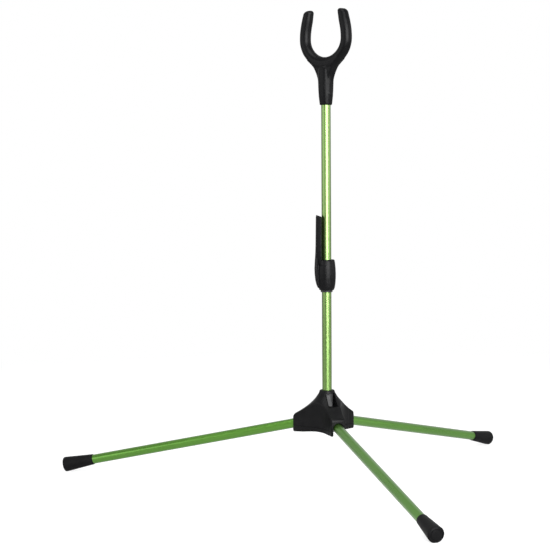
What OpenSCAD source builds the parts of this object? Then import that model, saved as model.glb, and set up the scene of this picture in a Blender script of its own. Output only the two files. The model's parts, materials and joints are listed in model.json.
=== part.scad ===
// Folding tripod stand: three tube legs hinged in a moulded hub, a tube mast with a sliding
// string clip, and a rubber covered fork on top.
// Units are millimetres, +Z is up and the floor is z = 0.
// The origin is the centre of the footprint; the fork opens along X and one leg runs along +Y.

/* [Stand] */
// Height of the fork's tips above the floor
stand_h = 594; // [570:1:640]
// Horizontal distance from the mast's axis to the outer end of each foot
leg_reach = 352.5; // [330:0.5:380]
// Slope of the legs below the horizontal, in degrees
leg_tilt = 11.77; // [10.5:0.01:12.5]
// Outer diameter of the mast and leg tubes
tube_d = 12; // [11.6:0.1:12.2]
// Wall thickness of the tubes
tube_wall = 1; // [0.8:0.1:1.2]

/* [Hub] */
// Distance from the mast's axis to the outer end of each wing
wing_reach = 43.4; // [41:0.1:46]
// Width of each wing
wing_w = 18.4; // [17.6:0.1:20]
// Distance from the mast's axis to the middle of the hollow webs between the wings
web_r = 18.5; // [17:0.1:20]
// Distance from the mast's axis to each leg's hinge pin
pivot_r = 24; // [23:0.1:25]

/* [String clip] */
// Height of the clip's lower edge above the floor
clip_z = 241; // [150:1:340]
// Direction in which the clip's tongue faces, in degrees from +X
clip_turn = 222.7; // [0:0.1:360]
// Clear gap between the tongue and the mast
string_gap = 4.3; // [4.1:0.1:5]

/* [Fork] */
// Half of the distance between the centre lines of the two prongs at their widest
fork_half = 33.7; // [32.8:0.1:36]
// Thickness of the covered prongs
prong_d = 14; // [13:0.1:15]
// Height of the fork's inner curve, from its lowest point to its widest
fork_drop = 30; // [29.4:0.1:31]

/* [Feet] */
// Diameter of each foot at its outer end
foot_d = 19.3; // [18:0.1:21]
// Length of each foot
foot_l = 41; // [36:0.5:46]

/* [Hidden] */
$fn = 96;

// Directions of the legs: rear, left and right
leg_angles = [90, 210, -30];
rear = 0;
left = 1;
right = 2;

// The bounding box of the feet is centred on the origin, so the mast stands a little in front
mast_y = -85;

tube_r = tube_d / 2;
tube_ri = tube_r - tube_wall;

// Feet: a small flat where the rounded outer edge rests on the floor
foot_r = foot_d / 2;
foot_mouth_r = tube_r + 0.75;
foot_edge_r = 2.2;
foot_flat = 0.4;
foot_floor = 7;
foot_end_z = foot_edge_r - foot_flat - foot_edge_r * sin(leg_tilt)
    + (foot_r - foot_edge_r) * cos(leg_tilt);

// Leg hinges
pivot_z = foot_end_z + (leg_reach - pivot_r) * tan(leg_tilt);
leg_l = (leg_reach - pivot_r) / cos(leg_tilt);
leg_tube_x0 = 7.5;
leg_tube_x1 = leg_l - foot_floor;
pin_r = 2;
pin_bore_r = 2.05;
pin_half = 8.6;
eye_r = tube_r - 0.1;
eye_half = tube_r + 0.2;
channel_r = tube_r + 0.5;

// Hub heights
hub_z0 = pivot_z - 13.4;
hub_h = 53.1;
hub_z1 = hub_z0 + hub_h;
split_z = hub_z0 + 6.5;
seam = 0.1;
collar_r = 9.3;
wing_half = wing_w / 2;
wing_round = 2.5;
panel_x = 27;
bore_r = tube_r + 1.5;
mast_z0 = pivot_z + 1;

// Hollow web: an arc through the two panel edges and the middle of the web
panel_d = norm([panel_x, wing_half]);
panel_a = 60 - atan(wing_half / panel_x);
panel_chord = panel_d * sin(panel_a);
panel_sag = panel_d * cos(panel_a) - web_r;
web_arc_r = (panel_chord * panel_chord + panel_sag * panel_sag) / (2 * panel_sag);
web_arc_x = web_r + web_arc_r;

// Window in the right wing, with the socket's tab in it
window_y = [-5.3, 7.3];
window_z = [hub_z0 + 33.8, hub_z0 + 49.5];
window_x0 = 4;
tab_y = [-4.6, 1.9];

// Screws
mast_screw_r = 2;
mast_head_r = 3.7;
mast_head_h = 2.4;
washer_r = 4.4;
washer_t = 0.8;
sink_top = hub_z0 + 4;
hub_screw_r = 1.25;
hub_screw_head_r = 2.6;
hub_screw_head_h = 1.7;
hub_screw_l = 14;
hub_screw_at = 13.2;
arch_r = 120;
arch_rise = 1.4;

// String clip
bush_r = 7.5;
bush_h = 40;
bush_ridge_r = 8.5;
bush_ridge_z = [15, 25];
run = 0.06;
clip_h = 41;
tongue_h = 97.3;
rib_half = 28;
wall_half = 57;
crown_r = 17.5;
tongue_ri = tube_r + string_gap;

// Fork: a flat bottom arc, tighter side arcs, and prongs that lean in a little
prong_r = prong_d / 2;
rod_r = 4;
side_r = 27;
lean_r = 70;
lean = 13;
tip_r = 6.6;
rod_short = 10;
tip_z = stand_h - tip_r;
bar_z = stand_h - 65.8;
knuckle_rise = 0.05;
knuckle_gap = 0.3;
corner = 2 * atan((fork_drop - side_r) / (fork_half - side_r));
corner_k = (fork_half - side_r) / sin(corner);
floor_r = side_r + corner_k;
widest_z = bar_z + fork_drop;
straight_l = (tip_z - widest_z - lean_r * sin(lean)) / cos(lean);

sleeve_r = 9.7;
sleeve_z0 = stand_h - 118.5;
mast_z1 = stand_h - 71;
stub_l = 25;
flare_r = 50;
flare_tube_r = 6.3;
flare_overlap = 0.8;
flare_x = sleeve_r - 0.35 + flare_r;
flare_reach = floor_r + prong_r + flare_r - flare_overlap;
flare_z = bar_z + floor_r - sqrt(flare_reach * flare_reach - flare_x * flare_x);
flare_a = acos(flare_x / flare_reach);
web_half = 6;
web_reach = 26;

// ---------------------------------------------------------------- helpers

// Everything on the mast's axis is drawn about z and then moved to where the mast stands.
module at_mast() {
    translate([0, mast_y, 0]) children();
}

// Turns towards leg i, with x pointing outwards.
module toward_leg(i) {
    at_mast() rotate([0, 0, leg_angles[i]]) children();
}

// Frame of leg i: origin on its hinge pin, x along the tube, y along the pin.
module leg_frame(i) {
    toward_leg(i) translate([pivot_r, 0, pivot_z]) rotate([0, leg_tilt, 0]) children();
}

// A solid of revolution about the leg's x axis, from [x, radius] points.
module along_leg(points) {
    rotate([0, 90, 0]) rotate_extrude() polygon([for (p = points) [p[1], p[0]]]);
}

function bezier(a, b, c, t) =
    (1 - t) * (1 - t) * a + 2 * t * (1 - t) * b + t * t * c;

// ---------------------------------------------------------------- hub

// Outline of one wing seen from above
module wing_2d() {
    translate([0, -wing_half]) square([wing_reach - wing_round, wing_w]);
    translate([0, wing_round - wing_half]) square([wing_reach, wing_w - 2 * wing_round]);
    for (s = [-1, 1])
        translate([wing_reach - wing_round, s * (wing_half - wing_round)]) circle(wing_round);
}

// Outline of the hub seen from above: three wings with hollow webs between them
module star_2d() {
    // The webs' corners lie inside the wings, so that each arc ends on a wing's side
    corner_x = panel_x + 2;
    corner_y = wing_half - 0.5;
    corner_d = norm([corner_x, corner_y]);
    corner_turn = atan(corner_y / corner_x);
    for (a = leg_angles)
        rotate(a) wing_2d();
    difference() {
        polygon([
            for (i = [0 : 2], s = [-1, 1])
                let (a = 120 * i + 90 + s * corner_turn) corner_d * [cos(a), sin(a)]
        ]);
        for (a = leg_angles)
            rotate(a + 60) translate([web_arc_x, 0]) circle(web_arc_r);
    }
}

// Side outline of the hub, as [radius, height above its underside]
ridge_steps = 14;
ridge = [
    for (i = [0 : ridge_steps])
        bezier([9.95, 50.5], [16.8, 36], [wing_reach - 1.9, 22.2], i / ridge_steps)
];
hub_profile = concat(
    [[0, hub_h], [collar_r - 0.7, hub_h], [collar_r + 0.1, hub_h - 0.5]],
    ridge,
    [
        [wing_reach - 0.6, 20.5], [wing_reach, 18.3],
        [wing_reach, 2], [wing_reach - 0.6, 0.6], [wing_reach - 1.8, 0], [0, 0]
    ]
);

// The hub's outer shape between two heights
module hub_form(z0, z1) {
    intersection() {
        translate([0, 0, hub_z0]) rotate_extrude() polygon(hub_profile);
        translate([0, 0, z0]) linear_extrude(z1 - z0) star_2d();
    }
}

// Room for one leg: an arched roof over the tube, open outwards and downwards
module leg_channel(i) {
    reach = 60;
    leg_frame(i) {
        rotate([0, 90, 0]) cylinder(r = channel_r, h = reach);
        rotate([90, 0, 0]) cylinder(r = channel_r, h = 2 * channel_r, center = true);
        translate([-channel_r, -channel_r, -reach])
            cube([reach + channel_r, 2 * channel_r, reach]);
    }
}

// Slot that takes leg i's pin from below
module pin_slot(i) {
    toward_leg(i) translate([pivot_r, 0, 0]) {
        translate([0, 0, pivot_z]) rotate([90, 0, 0])
            cylinder(r = pin_r, h = 2 * pin_half, center = true);
        translate([-pin_r, -pin_half, split_z - 1])
            cube([2 * pin_r, 2 * pin_half, pivot_z - split_z + 1]);
    }
}

module hub_body() {
    color([0.09, 0.09, 0.095])
    difference() {
        at_mast() hub_form(split_z, hub_z1 + 1);
        for (i = [0 : 2]) {
            leg_channel(i);
            pin_slot(i);
        }
        at_mast() translate([0, 0, mast_z0]) cylinder(r = bore_r, h = hub_h);
        at_mast() translate([0, 0, hub_z0]) cylinder(r = mast_screw_r + 0.2, h = hub_h);
        toward_leg(right)
            translate([window_x0, window_y[0], window_z[0]])
                cube([wing_reach, window_y[1] - window_y[0], window_z[1] - window_z[0]]);
        for (i = [0 : 2])
            toward_leg(i) rotate([0, 0, 60]) translate([hub_screw_at, 0, hub_z0])
                cylinder(r = hub_screw_r, h = hub_screw_l + 4);
    }
}

// Base plate that closes the hub from below and holds the pins in their slots
module hub_base() {
    tab_half = 0.95;
    color([0.1, 0.1, 0.105])
    difference() {
        union() {
            at_mast() hub_form(hub_z0 - 1, split_z - seam);
            for (i = [0 : 2], s = [-1, 1])
                toward_leg(i)
                    translate([
                        pivot_r - pin_r + seam,
                        s * (pin_half - tab_half - 0.05) - tab_half,
                        hub_z0 + 2
                    ])
                        cube([2 * (pin_r - seam), 2 * tab_half, pivot_z - pin_r - hub_z0 - 2.05]);
        }
        for (i = [0 : 2]) {
            leg_channel(i);
            toward_leg(i) rotate([0, 0, 60]) translate([hub_screw_at, 0, hub_z0 - 2]) {
                cylinder(r = hub_screw_r + 0.15, h = hub_h);
                cylinder(r = hub_screw_head_r + 0.3, h = sink_top - hub_z0 + 2);
            }
            // The underside rises a little in the middle of each web
            toward_leg(i) rotate([0, 0, 60])
                translate([0, 0, hub_z0 + arch_rise - arch_r]) rotate([0, 90, 0])
                    cylinder(r = arch_r, h = wing_reach);
        }
        at_mast() translate([0, 0, hub_z0 - 2]) {
            cylinder(r = mast_screw_r + 0.2, h = hub_h);
            cylinder(r = washer_r + 0.3, h = sink_top - hub_z0 + 2);
        }
    }
}

// Three screws that hold the base plate
module hub_screws() {
    color([0.55, 0.55, 0.57])
    for (i = [0 : 2])
        toward_leg(i) rotate([0, 0, 60]) translate([hub_screw_at, 0, sink_top]) {
            difference() {
                translate([0, 0, -hub_screw_head_h])
                    cylinder(r = hub_screw_head_r, h = hub_screw_head_h);
                for (a = [0, 90])
                    rotate([0, 0, a]) translate([-1.5, -0.35, -hub_screw_head_h - 1])
                        cube([3, 0.7, 2]);
            }
            cylinder(r = hub_screw_r, h = hub_screw_l - 2);
        }
}

module leg_pins() {
    color([0.62, 0.62, 0.64])
    for (i = [0 : 2])
        toward_leg(i) translate([pivot_r, 0, pivot_z]) rotate([90, 0, 0])
            cylinder(r = pin_r, h = 2 * pin_half, center = true);
}

// ---------------------------------------------------------------- mast

// Liner between mast and hub; its sprung tab stands in the hub's window
module mast_socket() {
    color([0.42, 0.42, 0.43])
    difference() {
        union() {
            at_mast() translate([0, 0, mast_z0])
                cylinder(r = bore_r, h = hub_z1 - 0.4 - mast_z0);
            toward_leg(right) translate([0, tab_y[1], hub_z0]) rotate([90, 0, 0])
                linear_extrude(tab_y[1] - tab_y[0])
                    polygon([
                        [6.6, 34.9], [20.3, 34.9], [17.8, 37.3], [13.9, 42.3], [10.9, 48.2],
                        [6.6, 48.2]
                    ]);
        }
        at_mast() cylinder(r = tube_r, h = stand_h);
    }
}

module mast_tube() {
    color([0.42, 0.66, 0.22])
    at_mast() translate([0, 0, mast_z0]) difference() {
        cylinder(r = tube_r, h = mast_z1 - mast_z0);
        translate([0, 0, -1]) cylinder(r = tube_ri, h = mast_z1);
    }
}

// Threaded plug in the mast's lower end
module mast_plug() {
    plug_h = 24;
    color([0.6, 0.6, 0.62])
    at_mast() translate([0, 0, mast_z0]) difference() {
        cylinder(r = tube_ri, h = plug_h);
        translate([0, 0, -1]) cylinder(r = mast_screw_r, h = plug_h - 4);
    }
}

module mast_washer() {
    color([0.66, 0.66, 0.68])
    at_mast() translate([0, 0, sink_top - washer_t]) difference() {
        cylinder(r = washer_r, h = washer_t);
        translate([0, 0, -1]) cylinder(r = mast_screw_r + 0.1, h = washer_t + 2);
    }
}

// Screw through base plate and hub into the mast's plug
module mast_screw() {
    socket_r = 1.9;
    shank = mast_z0 + 16 - sink_top + washer_t;
    color([0.6, 0.6, 0.62])
    at_mast() translate([0, 0, sink_top - washer_t]) {
        difference() {
            translate([0, 0, -mast_head_h]) cylinder(r = mast_head_r, h = mast_head_h);
            translate([0, 0, -mast_head_h - 1]) cylinder(r = socket_r, h = 2.4, $fn = 6);
        }
        cylinder(r = mast_screw_r, h = shank);
    }
}

// ---------------------------------------------------------------- fork

// Part of a ring in the fork's plane, about [x, z], from angle a0 to a1
module ring_part(x, z, ring_r, r, a0, a1) {
    translate([x, 0, z]) rotate([90, 0, 0]) rotate([0, 0, a0])
        rotate_extrude(angle = a1 - a0) translate([ring_r, 0]) circle(r);
}

// The same, ending just short of two knuckles, with a knuckle at its upper end
module ring_link(x, z, ring_r, r, a0, a1) {
    trim = asin(knuckle_gap / ring_r);
    ring_part(x, z, ring_r, r, a0 + trim, a1 - trim);
    translate([x + ring_r * cos(a1), 0, z + ring_r * sin(a1)]) sphere(r = r + knuckle_rise);
}

// Frame of the right prong's straight end: origin where it begins, z towards its tip
module prong_end() {
    translate([fork_half - lean_r * (1 - cos(lean)), 0, widest_z + lean_r * sin(lean)])
        rotate([0, -lean, 0]) children();
}

// The curved part of the fork's round bar, with radius r
module fork_bend(r) {
    trim = asin(knuckle_gap / floor_r);
    ring_part(0, bar_z + floor_r, floor_r, r, 270 - corner + trim, 270 + corner - trim);
    for (s = [0, 1])
        mirror([s, 0, 0]) {
            translate([floor_r * sin(corner), 0, bar_z + floor_r * (1 - cos(corner))])
                sphere(r = r + knuckle_rise);
            ring_link(fork_half - side_r, widest_z, side_r, r, corner - 90, 0);
            ring_link(fork_half - lean_r, widest_z, lean_r, r, 0, lean);
        }
}

// The round bar inside the jacket, with the stub that plugs into the mast
module fork_rod() {
    fork_bend(rod_r);
    for (s = [0, 1])
        mirror([s, 0, 0]) prong_end() translate([0, 0, knuckle_gap])
            cylinder(r = rod_r, h = straight_l - rod_short);
}

module fork_core() {
    color([0.63, 0.63, 0.65])
    at_mast() {
        fork_rod();
        translate([0, 0, mast_z1 - stub_l])
            cylinder(r = tube_ri, h = bar_z - 1 - mast_z1 + stub_l);
    }
}

// Rubber jacket: sleeve over the mast, flared web and the two covered prongs
module fork_cover() {
    tip_steps = 8;
    taper_l = 9;
    color([0.085, 0.085, 0.09])
    at_mast() difference() {
        union() {
            fork_bend(prong_r);
            for (s = [0, 1])
                mirror([s, 0, 0]) {
                    prong_end() translate([0, 0, knuckle_gap]) rotate_extrude() polygon(concat(
                        [[0, 0], [prong_r, 0], [prong_r, straight_l - taper_l]],
                        [
                            for (k = [0 : tip_steps])
                                let (a = 90 * k / tip_steps)
                                    [tip_r * cos(a), straight_l - knuckle_gap + tip_r * sin(a)]
                        ]
                    ));
                    ring_part(
                        flare_x, flare_z, flare_r + flare_tube_r, flare_tube_r,
                        180 - flare_a, 180
                    );
                }
            // Flat web between the flared edges
            translate([0, web_half, 0]) rotate([90, 0, 0]) linear_extrude(2 * web_half)
                difference() {
                    translate([-web_reach, flare_z])
                        square([2 * web_reach, bar_z + prong_r - flare_z]);
                    for (s = [-1, 1])
                        translate([s * flare_x, flare_z]) circle(flare_r + flare_tube_r);
                    translate([0, bar_z + floor_r]) circle(floor_r);
                }
            translate([0, 0, sleeve_z0]) rotate_extrude() polygon([
                [0, 0], [6.9, 0], [7.6, 0.4], [7.9, 1.2], [8.95, 11.5], [9.4, 19.5],
                [sleeve_r, 28.5], [sleeve_r, 38], [9.45, 41], [8.5, 44.6], [6.6, 47.6],
                [3.6, 49.6], [0, 50.3]
            ]);
        }
        fork_rod();
        translate([0, 0, mast_z1 - 1]) cylinder(r = tube_ri, h = bar_z - mast_z1);
        translate([0, 0, sleeve_z0 - 1]) cylinder(r = tube_r, h = mast_z1 - sleeve_z0 + 1);
    }
}

// ---------------------------------------------------------------- string clip

// Bush that slides on the mast; its ridge keeps the clip on it
module clip_bush() {
    color([0.16, 0.16, 0.165])
    at_mast() translate([0, 0, clip_z]) rotate_extrude() polygon([
        [tube_r + run, 0], [bush_r - 0.4, 0], [bush_r, 0.4],
        [bush_r, bush_ridge_z[0]], [bush_ridge_r, bush_ridge_z[0] + 1],
        [bush_ridge_r, bush_ridge_z[1] - 1], [bush_r, bush_ridge_z[1]],
        [bush_r, bush_h], [tube_r + run, bush_h]
    ]);
}

// Barrel that turns on the bush, with an upright tongue that curves round the mast
module string_clip() {
    bore = bush_r + run;
    groove = bush_ridge_r + run;
    color([0.085, 0.085, 0.09])
    at_mast() translate([0, 0, clip_z]) difference() {
        union() {
            rotate_extrude() polygon([
                [0, 2.4], [8.4, 2.4], [9.3, 3.1], [10.5, 6.5], [11.2, 11.5], [11.6, 18],
                [11.65, 24], [11.4, 30], [10.95, 35], [10.45, 39], [10, 40.4], [9.2, clip_h],
                [0, clip_h]
            ]);
            // Rib that carries the tongue down the barrel's side
            rotate([0, 0, clip_turn - rib_half]) rotate_extrude(angle = 2 * rib_half)
                polygon([
                    [9.7, 5.5], [9.7, clip_h - 2], [tongue_ri + 0.5, clip_h + 0.2],
                    [tongue_ri + 0.5, 58], [13.7, 58], [14.3, 47], [14.9, 38], [15.3, 30], [15.1, 23],
                    [14.3, 15.5], [12.9, 9.5], [11.2, 5.5]
                ]);
            intersection() {
                rotate([0, 0, clip_turn - wall_half]) rotate_extrude(angle = 2 * wall_half)
                    polygon([
                        [9.7, 33], [9.7, clip_h - 2], [tongue_ri, clip_h + 0.4],
                        [tongue_ri, tongue_h - 2.6], [tongue_ri + 0.7, tongue_h - 1.6],
                        [12.6, tongue_h], [13.1, tongue_h - 0.5], [13.3, tongue_h - 3],
                        [13.6, 75], [13.9, 52], [13.4, 42], [12, 36], [10.6, 33]
                    ]);
                // The tongue's rounded crown
                rotate([0, 0, clip_turn]) {
                    translate([0, -crown_r, 30])
                        cube([2 * crown_r, 2 * crown_r, tongue_h - crown_r - 30]);
                    translate([0, 0, tongue_h - crown_r]) rotate([0, 90, 0])
                        cylinder(r = crown_r + 0.2, h = 2 * crown_r);
                }
            }
        }
        translate([0, 0, -1]) cylinder(r = bore, h = clip_h + 2);
        rotate_extrude() polygon([
            [0, bush_ridge_z[0] - 0.1], [bore, bush_ridge_z[0] - 0.1],
            [groove, bush_ridge_z[0] + 0.9], [groove, bush_ridge_z[1] - 0.9],
            [bore, bush_ridge_z[1] + 0.1], [0, bush_ridge_z[1] + 0.1]
        ]);
    }
}

// ---------------------------------------------------------------- legs

// Plug in the tube's inner end, with the eye that turns on the hinge pin
module leg_root(i) {
    plug_l = 28;
    color([0.58, 0.58, 0.6])
    leg_frame(i) difference() {
        union() {
            rotate([90, 0, 0]) cylinder(r = eye_r, h = 2 * eye_half, center = true);
            rotate([0, 90, 0]) cylinder(r = tube_r, h = leg_tube_x0);
            rotate([0, 90, 0]) cylinder(r = tube_ri, h = plug_l);
        }
        rotate([90, 0, 0]) cylinder(r = pin_bore_r, h = 4 * eye_half, center = true);
    }
}

module leg_tube(i) {
    color([0.42, 0.66, 0.22])
    leg_frame(i) translate([leg_tube_x0, 0, 0]) rotate([0, 90, 0]) difference() {
        cylinder(r = tube_r, h = leg_tube_x1 - leg_tube_x0);
        translate([0, 0, -1]) cylinder(r = tube_ri, h = leg_l);
    }
}

// Conical rubber foot; the end has a raised disc inside a shallow groove
module leg_foot(i) {
    mouth_x = leg_l - foot_l;
    edge = foot_edge_r;
    rim_r = foot_r - edge;
    edge_steps = 8;
    disc_r = 6.4;
    groove_w = 0.7;
    groove_d = 0.8;
    color([0.08, 0.08, 0.085])
    difference() {
        leg_frame(i) along_leg(concat(
            [
                [mouth_x, tube_r], [mouth_x, foot_mouth_r - 0.4],
                [mouth_x + 0.5, foot_mouth_r]
            ],
            [
                for (k = [0 : edge_steps])
                    let (a = 90 * k / edge_steps)
                        [leg_l - edge + edge * sin(a), rim_r + edge * cos(a)]
            ],
            [
                [leg_l, disc_r + groove_w], [leg_l - groove_d, disc_r + groove_w - 0.2],
                [leg_l - groove_d, disc_r], [leg_l + 0.1, disc_r - 0.1],
                [leg_l + 0.45, disc_r * 0.6], [leg_l + 0.6, 0],
                [leg_l - foot_floor, 0], [leg_l - foot_floor, tube_r]
            ]
        ));
        translate([-leg_reach, -2 * leg_reach, -foot_d])
            cube([2 * leg_reach, 4 * leg_reach, foot_d]);
    }
}

module leg_root_rear() { leg_root(rear); }
module leg_tube_rear() { leg_tube(rear); }
module leg_foot_rear() { leg_foot(rear); }
module leg_root_left() { leg_root(left); }
module leg_tube_left() { leg_tube(left); }
module leg_foot_left() { leg_foot(left); }
module leg_root_right() { leg_root(right); }
module leg_tube_right() { leg_tube(right); }
module leg_foot_right() { leg_foot(right); }

hub_body();
hub_base();
hub_screws();
leg_pins();
mast_socket();
mast_tube();
mast_plug();
mast_washer();
mast_screw();
fork_core();
fork_cover();
clip_bush();
string_clip();
leg_root_rear();
leg_tube_rear();
leg_foot_rear();
leg_root_left();
leg_tube_left();
leg_foot_left();
leg_root_right();
leg_tube_right();
leg_foot_right();
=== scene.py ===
"""Looks of the folding tripod stand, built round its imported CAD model.

Shapes are worked out in millimetres and turned into metres when a mesh is made. Moulded pieces are
distance fields (negative inside) that are meshed by surface_net; turned pieces are lathes.
"""
import json
import math

import bpy
import numpy as np
from mathutils import Matrix, Vector


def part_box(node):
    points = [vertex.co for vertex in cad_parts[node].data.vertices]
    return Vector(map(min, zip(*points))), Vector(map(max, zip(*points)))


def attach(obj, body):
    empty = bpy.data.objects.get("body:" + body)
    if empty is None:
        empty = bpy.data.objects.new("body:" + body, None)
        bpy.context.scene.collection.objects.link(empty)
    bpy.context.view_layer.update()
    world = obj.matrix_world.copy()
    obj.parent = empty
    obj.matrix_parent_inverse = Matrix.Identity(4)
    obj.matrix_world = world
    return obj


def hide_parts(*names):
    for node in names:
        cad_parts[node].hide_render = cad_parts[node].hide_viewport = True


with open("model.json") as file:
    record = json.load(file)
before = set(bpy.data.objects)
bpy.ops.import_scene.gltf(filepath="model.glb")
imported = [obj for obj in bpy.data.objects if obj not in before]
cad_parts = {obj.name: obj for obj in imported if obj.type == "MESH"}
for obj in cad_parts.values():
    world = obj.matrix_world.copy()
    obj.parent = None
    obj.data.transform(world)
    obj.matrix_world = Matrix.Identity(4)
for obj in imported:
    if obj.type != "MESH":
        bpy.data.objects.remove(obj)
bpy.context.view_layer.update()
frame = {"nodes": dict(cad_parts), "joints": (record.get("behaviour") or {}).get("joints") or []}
MM = 0.001


# ---------------------------------------------------------------- places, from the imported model

def box_mm(node):
    """Lowest and highest corners of a CAD node in millimetres."""
    lo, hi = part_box(node)
    return np.array(lo) / MM, np.array(hi) / MM


mast_lo, mast_hi = box_mm("mast_tube")
fork_lo, fork_hi = box_mm("fork_cover")
MAST = (mast_lo + mast_hi) / 2
TUBE_R = (mast_hi[0] - mast_lo[0]) / 2
TUBE_WALL = 1.0
FIT = 0.02              # gap left between faces that touch, so that they never flicker
HUB_Z0, HUB_Z1 = box_mm("hub_base")[0][2], box_mm("hub_body")[1][2]
JOINTS = {j["name"]: j for j in frame["joints"]}
LEGS = ("rear", "left", "right")
PIVOT = {leg: np.array(JOINTS[leg + "_leg_fold"]["pos_m"]) / MM for leg in LEGS}
OUTWARD = {
    leg: np.cross(JOINTS[leg + "_leg_fold"]["axis"], (0, 0, 1)) for leg in LEGS
}
PIVOT_R = math.hypot(*(PIVOT["rear"] - MAST)[:2])
PIVOT_Z = PIVOT["rear"][2]


def leg_slope():
    """Slope of the rear leg in radians and the length of its tube, from the tube's box. The round
    ends widen the box by an amount that depends on the slope, so both are refined together."""
    lo, hi = box_mm("leg_tube_rear")
    slope = 0.2
    for _ in range(12):
        run = hi[1] - lo[1] - 2 * TUBE_R * math.sin(slope)
        drop = hi[2] - lo[2] - 2 * TUBE_R * math.cos(slope)
        slope = math.atan2(drop, run)
    return slope, math.hypot(run, drop)


TILT, LEG_TUBE_L = leg_slope()
ROOT_L = 7.5            # from the pin to the tube's end
FOOT_FLOOR = 7.0        # rubber beyond the tube's other end
LEG_L = ROOT_L + LEG_TUBE_L + FOOT_FLOOR


def leg_matrix(leg):
    """Frame of a leg: origin on its pin, x along the tube, y along the pin."""
    out = Vector(OUTWARD[leg]).normalized()
    x = out * math.cos(TILT) - Vector((0, 0, 1)) * math.sin(TILT)
    y = Vector((0, 0, 1)).cross(out)
    z = x.cross(y)
    m = Matrix((x, y, z)).transposed().to_4x4()
    m.translation = Vector(PIVOT[leg]) * MM
    return m


def at_mast(z=0.0):
    """An upright frame on the mast's axis at height z."""
    return Matrix.Translation((MAST[0] * MM, MAST[1] * MM, z * MM))


# ---------------------------------------------------------------- distance fields

def round_max(a, b, r):
    """Intersection with a convex edge of radius r."""
    return np.minimum(np.maximum(a, b), -r) + np.hypot(
        np.maximum(a + r, 0), np.maximum(b + r, 0)
    )


def round_min(a, b, r):
    """Union with a hollow fillet of radius r."""
    return np.maximum(np.minimum(a, b), r) - np.hypot(
        np.maximum(r - a, 0), np.maximum(r - b, 0)
    )


def rounded_box(x, y, z, half, r):
    """A box about the origin with round edges of radius r."""
    qx, qy, qz = np.abs(x) - half[0] + r, np.abs(y) - half[1] + r, np.abs(z) - half[2] + r
    out = np.sqrt(np.maximum(qx, 0) ** 2 + np.maximum(qy, 0) ** 2 + np.maximum(qz, 0) ** 2)
    return out + np.minimum(np.maximum(np.maximum(qx, qy), qz), 0) - r


def polygon(points, u, v):
    """Signed distance in a plane to a closed outline."""
    points = np.array(points, float)
    best = np.full(u.shape, 1e12)
    side = np.ones(u.shape)
    for a, b in zip(points, np.roll(points, 1, axis=0)):
        eu, ev = b - a
        wu, wv = u - a[0], v - a[1]
        t = np.clip((wu * eu + wv * ev) / (eu * eu + ev * ev + 1e-12), 0, 1)
        best = np.minimum(best, (wu - eu * t) ** 2 + (wv - ev * t) ** 2)
        above, below = v >= a[1], v < b[1]
        left = eu * wv > ev * wu
        side = np.where((above & below & left) | (~above & ~below & ~left), -side, side)
    return side * np.sqrt(best)


def arc(u, v, centre, r, a0, a1):
    """Distance in a plane to an arc, with its angles in degrees."""
    du, dv = u - centre[0], v - centre[1]
    angle = np.degrees(np.arctan2(dv, du))
    mid, half = (a0 + a1) / 2, (a1 - a0) / 2
    off = (angle - mid + 180) % 360 - 180
    ends = [
        np.hypot(du - r * math.cos(math.radians(a)), dv - r * math.sin(math.radians(a)))
        for a in (a0, a1)
    ]
    return np.where(np.abs(off) <= half, np.abs(np.hypot(du, dv) - r), np.minimum(*ends))


def segment(u, v, a, b):
    """Distance in a plane to a straight line from a to b."""
    eu, ev = b[0] - a[0], b[1] - a[1]
    wu, wv = u - a[0], v - a[1]
    t = np.clip((wu * eu + wv * ev) / (eu * eu + ev * ev), 0, 1)
    return np.hypot(wu - eu * t, wv - ev * t)


# ---------------------------------------------------------------- meshes

def make(name, verts, faces, body, slot, material, matrix=Matrix(), replaces=()):
    """A mesh object from points in millimetres, riding on a CAD body. The mesh is stored in world
    coordinates; its own coordinates stay in the "grain" attribute, for the materials."""
    mesh = bpy.data.meshes.new(name)
    own = np.asarray(verts, float) * MM
    place = np.array(matrix)
    world = own @ place[:3, :3].T + place[:3, 3]
    mesh.from_pydata(world.tolist(), [], [list(map(int, f)) for f in faces])
    grain = mesh.attributes.new("grain", "FLOAT_VECTOR", "POINT")
    grain.data.foreach_set("vector", own.ravel())
    mesh.validate()
    mesh.materials.append(material)
    mesh.polygons.foreach_set("use_smooth", [True] * len(mesh.polygons))
    mesh.update()
    piece = bpy.data.objects.new(name, mesh)
    bpy.context.scene.collection.objects.link(piece)
    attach(piece, body)
    if replaces:
        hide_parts(*replaces)
    return piece


PROBE = 0.02        # how far to each side a field's slope is measured, in mm
SETTLING = 4        # rounds of moving points onto the surface


def settled(field, verts, step):
    """The points moved along the field's slope onto its surface, half a step at most a round."""
    probes = PROBE * np.eye(3)
    for _ in range(SETTLING):
        p = verts.T
        d = field(*p)
        slope = np.stack([
            (field(*(p + probes[:, i:i + 1])) - field(*(p - probes[:, i:i + 1]))) / (2 * PROBE)
            for i in range(3)
        ], 1)
        size = np.maximum((slope ** 2).sum(1), 0.05)
        move = -(d / size)[:, None] * slope
        verts = verts + np.clip(move, -0.5 * step, 0.5 * step)
    return verts


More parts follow.
